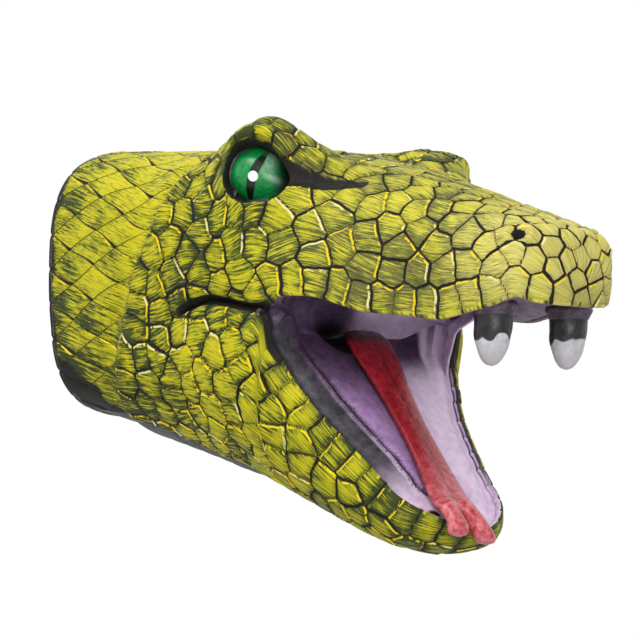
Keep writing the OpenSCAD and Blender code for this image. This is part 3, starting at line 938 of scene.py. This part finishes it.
def skin_object(name, p, n, attributes, lip_x, roll_from, lip_paint, keep=True):
    """Outer skin, its rolled lips and its coarser inner wall as one mesh, and its inner edges."""
    rows, columns = p.shape[:2]
    right, left = rolled_lips(p, n, roll_from)
    wide = np.concatenate([right, p, left], axis=1)
    extra, total = right.shape[1], wide.shape[1]
    show = np.ones((rows - 1, total - 1), bool)
    show[:, :extra] = show[:, -extra:] = lip_x[:-1, None] > CREASE_FROM
    show[:, extra:-extra] &= keep
    inward = np.zeros((rows - 1, total - 1), int)
    inward[:, :extra - 3] = inward[:, 3 - extra:] = 1
    quads = grid_faces(rows, total)[show.ravel()]
    inner_rows = np.unique(np.r_[np.arange(0, rows, INNER_EVERY), rows - 1])
    inner_columns = np.unique(np.r_[np.arange(0, columns, INNER_EVERY), columns - 1])
    inner = (p - n * SKIN_T)[np.ix_(inner_rows, inner_columns)]
    inner_quads = grid_faces(len(inner_rows), len(inner_columns), rows * total)[:, ::-1]
    points = np.concatenate([wide.reshape(-1, 3), inner.reshape(-1, 3)])
    spread = {}
    for key, values in attributes.items():
        v = values.reshape(rows, columns, -1)
        v = np.concatenate([np.repeat(v[:, :1], extra, 1), v, np.repeat(v[:, -1:], extra, 1)], axis=1)
        v = np.concatenate([v.reshape(rows * total, -1), np.zeros((inner[..., 0].size, v.shape[-1]))])
        spread[key] = v[:, 0] if v.shape[1] == 1 else v
    depth = np.zeros((rows, total))
    depth[:, :extra] = np.linspace(1.4, -1.4, extra)
    depth[:, -extra:] = np.linspace(-1.4, 1.4, extra)
    spread["inset"] = np.r_[depth.ravel(), np.zeros(inner[..., 0].size)]
    spread["run"] = to_jaw(points)[:, 0]
    spread["side"] = points[:, 1]
    spread["place"] = points
    piece = make_mesh(name, points, [quads, inner_quads], [SCALES, lip_paint, INSIDE], spread,
                      np.r_[inward[show], np.full(len(inner_quads), 2)])
    return piece, right[:, 0], left[:, -1]


head_piece, roof_right, roof_left = skin_object(
    "scaled_head_skin", upper_skin, upper_n, upper_paint, upper_lip_x, mouth_upper[0], PALATE)
bend(head_piece, "head", *HEAD_BEND)
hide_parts("head_skin")

# The belly band takes the middle columns of the lower skin
column_share = np.linspace(-1, 1, lower.shape[1] - 1)
row_x = lower[:-1, lower.shape[1] // 2, 0]
band_half = 0.44 - 0.17 * ramp(35, 72, row_x) + 0.08 * ramp(90, 112, row_x) - 0.40 * ramp(120, 148, row_x)
in_band = np.abs(column_share)[None, :] < band_half[:, None]
jaw_piece, floor_right, floor_left = skin_object(
    "scaled_jaw_skin", lower_skin, lower_n, lower_paint, lower_lip_x, mouth_lower[0], MOUTH, ~in_band)
bend(jaw_piece, "jaw", *JAW_BEND)
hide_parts("jaw_skin", "neck_sleeve")


def belly_band():
    """Smooth dark strip under the neck and the jaw."""
    quads = grid_faces(*lower.shape[:2])
    inside, outside = quads[in_band.ravel()], quads[~in_band.ravel()]
    ripple = 0.22 * np.sin(lower[..., 0] * 0.9) * ramp(-50, -56, lower[..., 2])
    points = (lower + lower_n * (ripple - 0.15)[..., None]).reshape(-1, 3)
    outline = np.intersect1d(inside, outside)
    points[outline] = lower_skin.reshape(-1, 3)[outline]
    piece = make_mesh("belly_band", points, [inside], [DARK_RUBBER], {"place": points})
    bend(piece, "jaw", *JAW_BEND)
    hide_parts("belly_panel")


belly_band()


def cuff():
    """Rolled dark edge of the wrist opening."""
    ring = np.concatenate([upper_skin[0], lower_skin[0][::-1][1:-1]])
    out = unit(np.concatenate([upper_n[0], lower_n[0][::-1][1:-1]]) * [0, 1, 1])
    forward = 1.6 + 0.25 * np.sin(circle(len(ring)) * 9)[:, None]
    rows = []
    for t in np.linspace(-0.35, 1.35, 15) * math.pi:
        swell = out * (RIM_R * 0.62 * (math.cos(t) - 1) + 0.15)
        rows.append(ring + swell + FORWARD * (forward - RIM_R * 0.8 * math.sin(t)))
    rows.append(ring - out * SKIN_T + FORWARD * 6.0)
    piece = grid_piece("rolled_cuff", np.array(rows), DARK_RUBBER, closed=True)
    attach(piece, "neck")
    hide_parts("cuff_rim")


cuff()

# --------------------------------------------------------------------- the mouth

LINING_COLUMNS = 141
# Height of the mouth's floor above the jaw's plane, along its middle
FLOOR_ALONG = [0, 6, 20, 45, 62, 72, 80]
FLOOR_UP = [-9.0, -7.6, -6.4, -5.6, -5.4, -5.6, -5.0]
# Distances from the lip: where the gum ridge begins, has its crest and ends
RIDGE_FROM, RIDGE_AT, RIDGE_TO = 7.4, 8.4, 10.7


def between_edges(right, left):
    """A flat grid from one edge to the other, with every second row."""
    share = np.linspace(0, 1, LINING_COLUMNS)[None, :, None]
    return (right[:, None] * (1 - share) + left[:, None] * share)[::2]


def inset_from(right, left, plan):
    """Distance of places from the outline that two edges make, in its own plane."""
    outline = np.concatenate([right, left[::-1]])[::3, :2]
    best = np.full(plan.shape[:-1], 1e9)
    for a, b in zip(outline[:-1], outline[1:]):
        length = (b - a) @ (b - a)
        if length > 1e-9:
            t = np.clip((plan - a) @ (b - a) / length, 0, 1)
            best = np.minimum(best, np.linalg.norm(plan - (a + t[..., None] * (b - a)), axis=-1))
    return best


def lower_lining():
    """Floor of the mouth in three pieces: dark lip band, raised ridge and purple floor."""
    right, left = floor_right[mouth_lower[0]:], floor_left[mouth_lower[0]:]
    plan = to_jaw(between_edges(right, left))
    inset = inset_from(to_jaw(right), to_jaw(left), plan[..., :2])
    along, across, edge_up = plan[..., 0], plan[..., 1], plan[..., 2]
    rise = 3.0 * ramp(0, 22, along) * (1 - 0.6 * ramp(46, 74, along))
    band = edge_up + rise * ramp(0.2, 8.2, inset) - 0.5 * bell(inset - 2.0, 1.2)
    bed = np.interp(along, FLOOR_ALONG, FLOOR_UP) - 1.5 * bell(across, 8.5)
    bed = bed - 5.0 * bell(across, 9.0) * ramp(9, 2, along)
    far = ramp(0, 10, across) * ramp(70, 50, along)
    crest = 0.5 * bell(inset - RIDGE_AT, 1.1) - bell(inset - RIDGE_AT - 2.6, 1.3)
    crest = crest * ramp(2, 12, along) * (1 - 0.95 * far)
    height = band + (bed - band) * ramp(RIDGE_AT + 1.5 - 3 * far, RIDGE_AT + 9, inset) + crest
    p = from_jaw(along, across, height)
    # painted shade at the back of the floor, and a painted shadow under the tongue's raised tip
    painted_shade = ramp(13, 5, np.hypot(across * 0.9, along * 1.1))
    painted_shade = np.maximum(painted_shade, ramp(3.4, 1.6, np.hypot(along - 74.5, across + 11.5)))
    attributes = {"place": p.reshape(-1, 3), "inset": inset.ravel(), "run": along.ravel(),
                  "side": across.ravel(), "dark": painted_shade.ravel()}
    quads = grid_faces(*p.shape[:2])
    middle = inset.ravel()[quads].mean(1)
    for name, node, slot, low, high in (
            ("dark_lip_band", "lip_band", "skin_dark", -1, RIDGE_FROM),
            ("lilac_gum_ridge", "gum_ridge", "mouth_lilac", RIDGE_FROM, RIDGE_TO),
            ("purple_mouth_floor", "mouth_floor", "mouth_purple", RIDGE_TO, 99)):
        own = quads[(middle >= low) & (middle < high)]
        piece = make_mesh(name, attributes["place"], [own], [MOUTH], attributes)
        bend(piece, "jaw", *JAW_BEND)
        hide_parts(node)
    return p


def upper_lining():
    """Arched roof of the mouth."""
    right, left = roof_right[mouth_upper[0]:], roof_left[mouth_upper[0]:]
    g = between_edges(right, left)
    inset = inset_from(right, left, g[..., :2])
    x = g[..., 0]
    rise = (10 - 6 * ramp(140, 172, x)) * ramp(3, 16, inset)
    rise = rise - 0.8 * bell(inset - 2.2, 1.4) + 0.5 * np.sin(x * 0.55) * ramp(8, 14, inset)
    p = g + UP * rise[..., None]
    piece = grid_piece("arched_palate", p, PALATE, inset=inset)
    bend(piece, "head", *HEAD_BEND)
    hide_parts("palate")
    return p


def throat(top, bottom):
    """Back wall of the mouth, from the roof to the floor, with a hollow over the tongue that is darkened
    with painted shade.
    """
    share_y = np.linspace(-1, 1, LINING_COLUMNS)
    rows, painted_shade = [], []
    for t in np.linspace(0, 1, 33):
        wall = top * (1 - t) + bottom * t
        reach = np.where(wall[:, 1] > 0, 7.5, 11)
        gap = bell(wall[:, 1], reach) * bell(t - 1.0, 0.42)
        bulge = 5 * math.sin(math.pi * t) * (1 - share_y ** 4) + 7 * gap * ramp(1.0, 0.8, t)
        rows.append(wall - FORWARD * bulge[:, None])
        painted_shade.append(gap)
    # a skirt that stays hidden behind the palate while the jaw moves
    for back, up in ((2.0, 3.0), (6.0, 6.0)):
        rows.insert(0, top * [1, 0.9, 1] - FORWARD * back + UP * up)
        painted_shade.insert(0, painted_shade[0])
    p = np.array(rows)
    across = p[..., 1]
    # painted light: the wall pales towards its left side; painted shade darkens the hollow over the tongue
    piece = grid_piece("throat_wall", p, MOUTH, inset=20.0, run=14 + 18 * ramp(2, 16, across),
                       side=across, dark=np.array(painted_shade) * 1.3)
    bend(piece, "jaw", *JAW_BEND)
    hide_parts("throat_fold")


floor_grid = lower_lining()
roof_grid = upper_lining()
throat(roof_grid[0], floor_grid[0])


def cheek_web(side, node, name):
    """Curved skin in a mouth corner, stretched between the two lips."""
    hinge = np.array([HINGE_X, HINGE_Z + 2.0])
    edges = (roof_left, floor_left) if side > 0 else (roof_right, floor_right)
    narrow, wide, power = (9.0, 11.0, 2.0) if side > 0 else (3.0, 5.0, 2.4)
    lips = []
    for edge, first in zip(edges, (mouth_upper[0], mouth_lower[0])):
        away = edge[first:][:, [0, 2]] - hinge
        far = np.hypot(*away.T)
        keep = np.argmax(far > 20)
        angle = np.unwrap(np.arctan2(away[:keep, 1], away[:keep, 0]))
        lips.append((far[:keep], angle, edge[first:first + keep, 1]))
    rows = []
    share = np.linspace(0, 1, 22)
    for t in np.linspace(-0.03, 1.03, 31):
        r = 0.8 + (narrow + wide * abs(2 * t - 1) ** power - 0.8) * share
        angle, y = (sum(weight * np.interp(r, lip[0], lip[k]) for weight, lip in zip((1 - t, t), lips))
                    for k in (1, 2))
        sag = 1.6 + 4.0 * math.sin(math.pi * min(max(t, 0), 1))
        y = y - side * sag * ramp(0, 0.5, share)
        rows.append(np.stack([hinge[0] + r * np.cos(angle), y, hinge[1] + r * np.sin(angle)], -1))
    p = np.array(rows)
    fall = np.linspace(0, 1, len(rows))[:, None]
    # painted shade darkens the right web, and the left web grows paler downwards as painted light
    piece = grid_piece(name, p, MOUTH, inset=20.0, run=5 + (9 + 22 * fall) * (side > 0),
                       side=p[..., 1], dark=0.4 * (side < 0))
    thick = piece.modifiers.new("thickness", "SOLIDIFY")
    thick.thickness = 0.7 * MM
    thick.offset = 0
    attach(piece, "neck")
    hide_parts(node)


cheek_web(-1, "cheek_web_right", "mouth_corner_right")
cheek_web(1, "cheek_web_left", "mouth_corner_left")

# -------------------------------------------------------------------- the tongue

# The tongue's middle line in the jaw's plane: [along, across, up, half width]
TONGUE_LINE = [[1.5, 2.4, -6.5, 7.8], [6, 2.2, -5.4, 9.0], [14, 1.8, -5.0, 8.6], [26, 1.0, -4.9, 6.8],
               [38, 0.2, -4.8, 5.8], [51, -0.8, -4.4, 6.0], [62, -2.8, -3.4, 7.0], [70, -5.2, -1.6, 7.6],
               [77, -6.8, 0.8, 7.2], [83, -7.0, 1.0, 6.4], [87.5, -5.4, -1.6, 5.4]]
FORK_AT = 75.5


def swept_tube(rings):
    """Points and faces of a closed tube through rings, with fans at its ends."""
    rings = np.array(rings)
    m, k = rings.shape[:2]
    ends = np.stack([rings[0].mean(0), rings[-1].mean(0)])
    points = np.concatenate([rings.reshape(-1, 3), ends])
    sides = grid_faces(m, k, closed=True)
    j = np.arange(k)
    first = np.stack([np.full(k, m * k), (j + 1) % k, j, j], -1)[:, :3]
    last = np.stack([np.full(k, m * k + 1), (m - 1) * k + j, (m - 1) * k + (j + 1) % k], -1)
    return points, sides, np.concatenate([first, last])


def tongue():
    """Long tongue with raised edges, a central crease and two rounded lobes."""
    line = catmull(TONGUE_LINE, 12)
    turns = circle(32)
    tangent = unit(np.gradient(line[:, [0, 2]], axis=0))

    def ring(i, across, half, thick, crease_depth):
        c, s = np.cos(turns), np.sin(turns)
        up = thick * np.sign(s) * np.abs(s) ** 0.8
        up = up + (s > 0) * (0.15 * np.abs(c) ** 3 - crease_depth * bell(c * half, 1.5))
        return from_jaw(line[i, 0] - tangent[i, 1] * up, across + half * c, line[i, 2] + tangent[i, 0] * up)

    fork = int(np.argmax(line[:, 0] > FORK_AT))
    crease_depth = 0.10 + 0.6 * ramp(64, 76, line[:, 0])
    parts = [[ring(i, line[i, 1], line[i, 3], 1.9, crease_depth[i]) for i in range(fork + 2)]]
    for side, last, spread in ((-1, len(line) - 7, 1.6), (1, len(line) - 1, 2.0)):
        count = last - fork
        rings = []
        for k in range(-5, count + 1):
            q = max(k, 0) / count
            tip = math.sqrt(max(1 - max((q - 0.72) / 0.28, 0) ** 2, 0.0)) * 0.97 + 0.03
            half = (3.2 - 0.7 * math.sin(math.pi * min(q * 1.5, 1)) + 0.5 * q) * tip
            across = line[fork + k, 1] + side * (3.5 + spread * q)
            rings.append(ring(fork + k, across, half, 2.5 * tip * (0.9 + 0.3 * q), 0))
        parts.append(rings)
    points, faces, offset = [], [], 0
    for rings in parts:
        p, sides, caps = swept_tube(rings)
        points.append(p)
        faces += [sides + offset, caps + offset]
        offset += len(p)
    piece = make_mesh("forked_tongue", np.concatenate(points), faces, [TONGUE], {})
    # one closed skin over the tongue and its two lobes
    remesh = piece.modifiers.new("join", "REMESH")
    remesh.mode = "VOXEL"
    remesh.voxel_size = 0.5 * MM
    relax = piece.modifiers.new("relax", "SMOOTH")
    relax.iterations = 6
    relax.factor = 0.5
    mesh = bpy.data.meshes.new_from_object(piece.evaluated_get(bpy.context.evaluated_depsgraph_get()))
    piece.modifiers.clear()
    piece.data = mesh
    shade_smooth(mesh)
    place = np.zeros(len(mesh.vertices) * 3)
    mesh.vertices.foreach_get("co", place)
    place = place.reshape(-1, 3) / MM
    along, across = to_jaw(place)[:, 0], to_jaw(place)[:, 1]
    centre = np.interp(along, [row[0] for row in TONGUE_LINE], [row[1] for row in TONGUE_LINE])
    # painted shade: darker along the middle crease and at the root, deep in the mouth
    dark = np.maximum(bell(across - centre, 0.9) * ramp(84, 66, along) * 0.7, ramp(12, 3, along))
    set_attributes(mesh, {"run": along, "dark": dark, "place": place})
    start, end = from_jaw(10, 0, -6) * MM, from_jaw(32, 0, -5) * MM
    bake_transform(piece)
    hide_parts("tongue")


tongue()


def tongue_base():
    """Soft mound that joins the tongue to the floor."""
    low, high = node_box("tongue_root")
    centre, size = (low + high) / 2, (high - low) / 2 * [1.15, 1.1, 1.05]
    turns = circle(32)
    rings = []
    for t in np.linspace(0.02, 1, 14) * math.pi:
        r = math.sin(t) ** 0.6
        ball = np.stack([np.full(32, math.cos(t)), r * np.cos(turns), r * np.sin(turns)], -1)
        rings.append(centre + size * ball)
    points, sides, caps = swept_tube(rings)
    wide = np.ones(len(points))
    piece = make_mesh("tongue_base", points, [sides, caps], [TONGUE],
                      {"place": points, "run": 20 * wide, "dark": 0 * wide})
    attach(piece, "jaw")
    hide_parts("tongue_root")


tongue_base()

# ----------------------------------------------------------------- eyes and fangs


def eyeball(side, node, name):
    """Domed eye with a drawn-out front corner, and the dark lid ring round it."""
    eye = EYES[side]
    axes = np.stack([eye["nose"], eye["crown"], eye["gaze"]])
    turns = circle(96)
    outline = eye_outline(turns)
    rho = np.linspace(0, 1, 34)[:, None]
    lift = np.sqrt(1 - (rho * 0.96) ** 2) * (1 - 0.12 * np.cos(turns).clip(0) * rho)
    look = np.stack([rho * outline * np.cos(turns), rho * outline * np.sin(turns), lift], -1)
    points = (eye["centre"] + eye["radius"] * look @ axes).reshape(-1, 3)
    piece = make_mesh(name, points, [grid_faces(34, 96, closed=True)], [EYE_GREEN],
                      {"look": look.reshape(-1, 3), "edge": np.repeat(rho, 96)})
    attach(piece, "head")
    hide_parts(node)
    small = circle(10)
    turn = turns[:, None]
    thick = 0.075 + 0.03 * np.cos(turn * 2 + 0.6)
    r = outline[:, None] + thick * np.cos(small)
    lift = 0.30 + 0.13 * (1 - np.abs(np.cos(turn))) + thick * 1.5 * np.sin(small)
    rings = eye["centre"] + eye["radius"] * np.stack([r * np.cos(turn), r * np.sin(turn), lift], -1) @ axes
    rings = np.concatenate([rings, rings[:1]])
    lid = grid_piece(name.replace("eye", "eye_lid"), rings, LID_RUBBER, closed=True)
    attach(lid, "head")


eyeball(-1, "eye_right", "domed_eye_right")
eyeball(1, "eye_left", "domed_eye_left")


def turned_profile(profile, centre, lean, lumps):
    """A round form from (radius, height) pairs, slightly uneven, leaning along X."""
    turns = circle(48)
    rows = []
    for radius, height in profile:
        r = radius * (1 + lumps * np.sin(turns * 3 + height * 0.6) + lumps * np.sin(turns * 5 - height))
        place = [lean * height + r * np.cos(turns), r * np.sin(turns), np.full(48, height)]
        rows.append(centre + np.stack(place, -1))
    return np.array(rows)


def fang(word):
    """Fang and the gum pad that it grows from."""
    low, high = node_box("fang_" + word)
    pad_low, pad_high = node_box("fang_gum_" + word)
    top = np.array([(pad_low[0] + pad_high[0]) / 2, (low[1] + high[1]) / 2, high[2]])
    length, radius = high[2] - low[2], (high[1] - low[1]) / 2
    tooth = catmull([[1.12, 0.12], [1.06, 0.0], [1.03, -0.15], [1.0, -0.38], [0.86, -0.62],
                     [0.64, -0.82], [0.36, -0.95], [0.03, -1.0]], 8)
    p = turned_profile(tooth.clip([0.01, -1]) * [radius, length], top, 0.07, 0.012)
    run = ((top[2] - p[..., 2]) / length).clip(0, 1)
    piece = grid_piece("fang_tooth_" + word, p, FANG, closed=True, run=run)
    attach(piece, "head")
    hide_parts("fang_" + word)
    mound = catmull([[0.95, -1.0], [1.07, -0.5], [1.16, 0.6], [1.3, 2.2], [1.2, 3.4]], 5)
    p = turned_profile(mound * [radius, 1], top, 0.0, 0.02)
    pad = grid_piece("fang_mound_" + word, p, DARK_GUM, closed=True)
    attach(pad, "head")
    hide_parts("fang_gum_" + word)


fang("right")
fang("left")

# -------------------------------------------------------------- stage and camera

LIGHT_POWER = 8.5                # of each light, in watts
MIDDLE = Vector((0.1, 0, 0))     # where the lights and the camera look, in metres


def white_surroundings():
    """White behind the puppet, a little dimmer on the side that it faces."""
    world = bpy.data.worlds.new("studio")
    world.use_nodes = True
    tree = world.node_tree
    background = tree.nodes["Background"]
    background.inputs["Strength"].default_value = 1.0
    where = tree.nodes.new("ShaderNodeTexCoord")
    dot = tree.nodes.new("ShaderNodeVectorMath")
    dot.operation = "DOT_PRODUCT"
    dot.inputs[1].default_value = (-0.72, 0.66, 0.22)
    shade = tree.nodes.new("ShaderNodeMapRange")
    shade.interpolation_type = "SMOOTHSTEP"
    for socket, value in zip(shade.inputs[1:5], (-0.9, 0.75, 0.55, 1.0)):
        socket.default_value = value
    tree.links.new(where.outputs["Generated"], dot.inputs[0])
    tree.links.new(dot.outputs["Value"], shade.inputs[0])
    tree.links.new(shade.outputs[0], background.inputs["Color"])
    bpy.context.scene.world = world


def stage():
    """Pale floor well below the puppet and two soft lights."""
    half, drop = 3.0, -0.45
    corners = [(x, y, drop) for x, y in ((-half, -half), (half, -half), (half, half), (-half, half))]
    mesh = bpy.data.meshes.new("floor")
    mesh.from_pydata(corners, [], [(0, 1, 2, 3)])
    mesh.materials.append(Paint("floor_paint", 0.8, 0.2).finish((0.62, 0.62, 0.62, 1)))
    floor = bpy.data.objects.new("floor", mesh)
    bpy.context.scene.collection.objects.link(floor)
    for name, place, size in (("key", (0.0, -0.7, 1.0), 0.6), ("front", (1.1, -0.7, 0.2), 0.5)):
        light = bpy.data.lights.new(name, "AREA")
        light.energy = LIGHT_POWER
        light.size = size
        lamp = bpy.data.objects.new(name, light)
        lamp.location = place
        lamp.rotation_euler = (MIDDLE - Vector(place)).to_track_quat("-Z", "Y").to_euler()
        bpy.context.scene.collection.objects.link(lamp)


def camera():
    """Three-quarter view from slightly below."""
    azimuth, elevation, distance = math.radians(47), math.radians(-5), 0.9
    level = math.cos(elevation)
    away = Vector((math.sin(azimuth) * level, -math.cos(azimuth) * level, math.sin(elevation)))
    data = bpy.data.cameras.new("camera")
    data.lens = 162
    data.sensor_width = 36
    # the puppet stands a little right of the picture's middle and above it
    data.shift_x = -0.0421875
    data.shift_y = -0.0875
    view = bpy.data.objects.new("camera", data)
    view.location = MIDDLE + away * distance
    view.rotation_euler = (-away).to_track_quat("-Z", "Y").to_euler()
    bpy.context.scene.collection.objects.link(view)
    bpy.context.scene.camera = view


white_surroundings()
stage()
camera()
bpy.context.scene.view_settings.view_transform = "Standard"
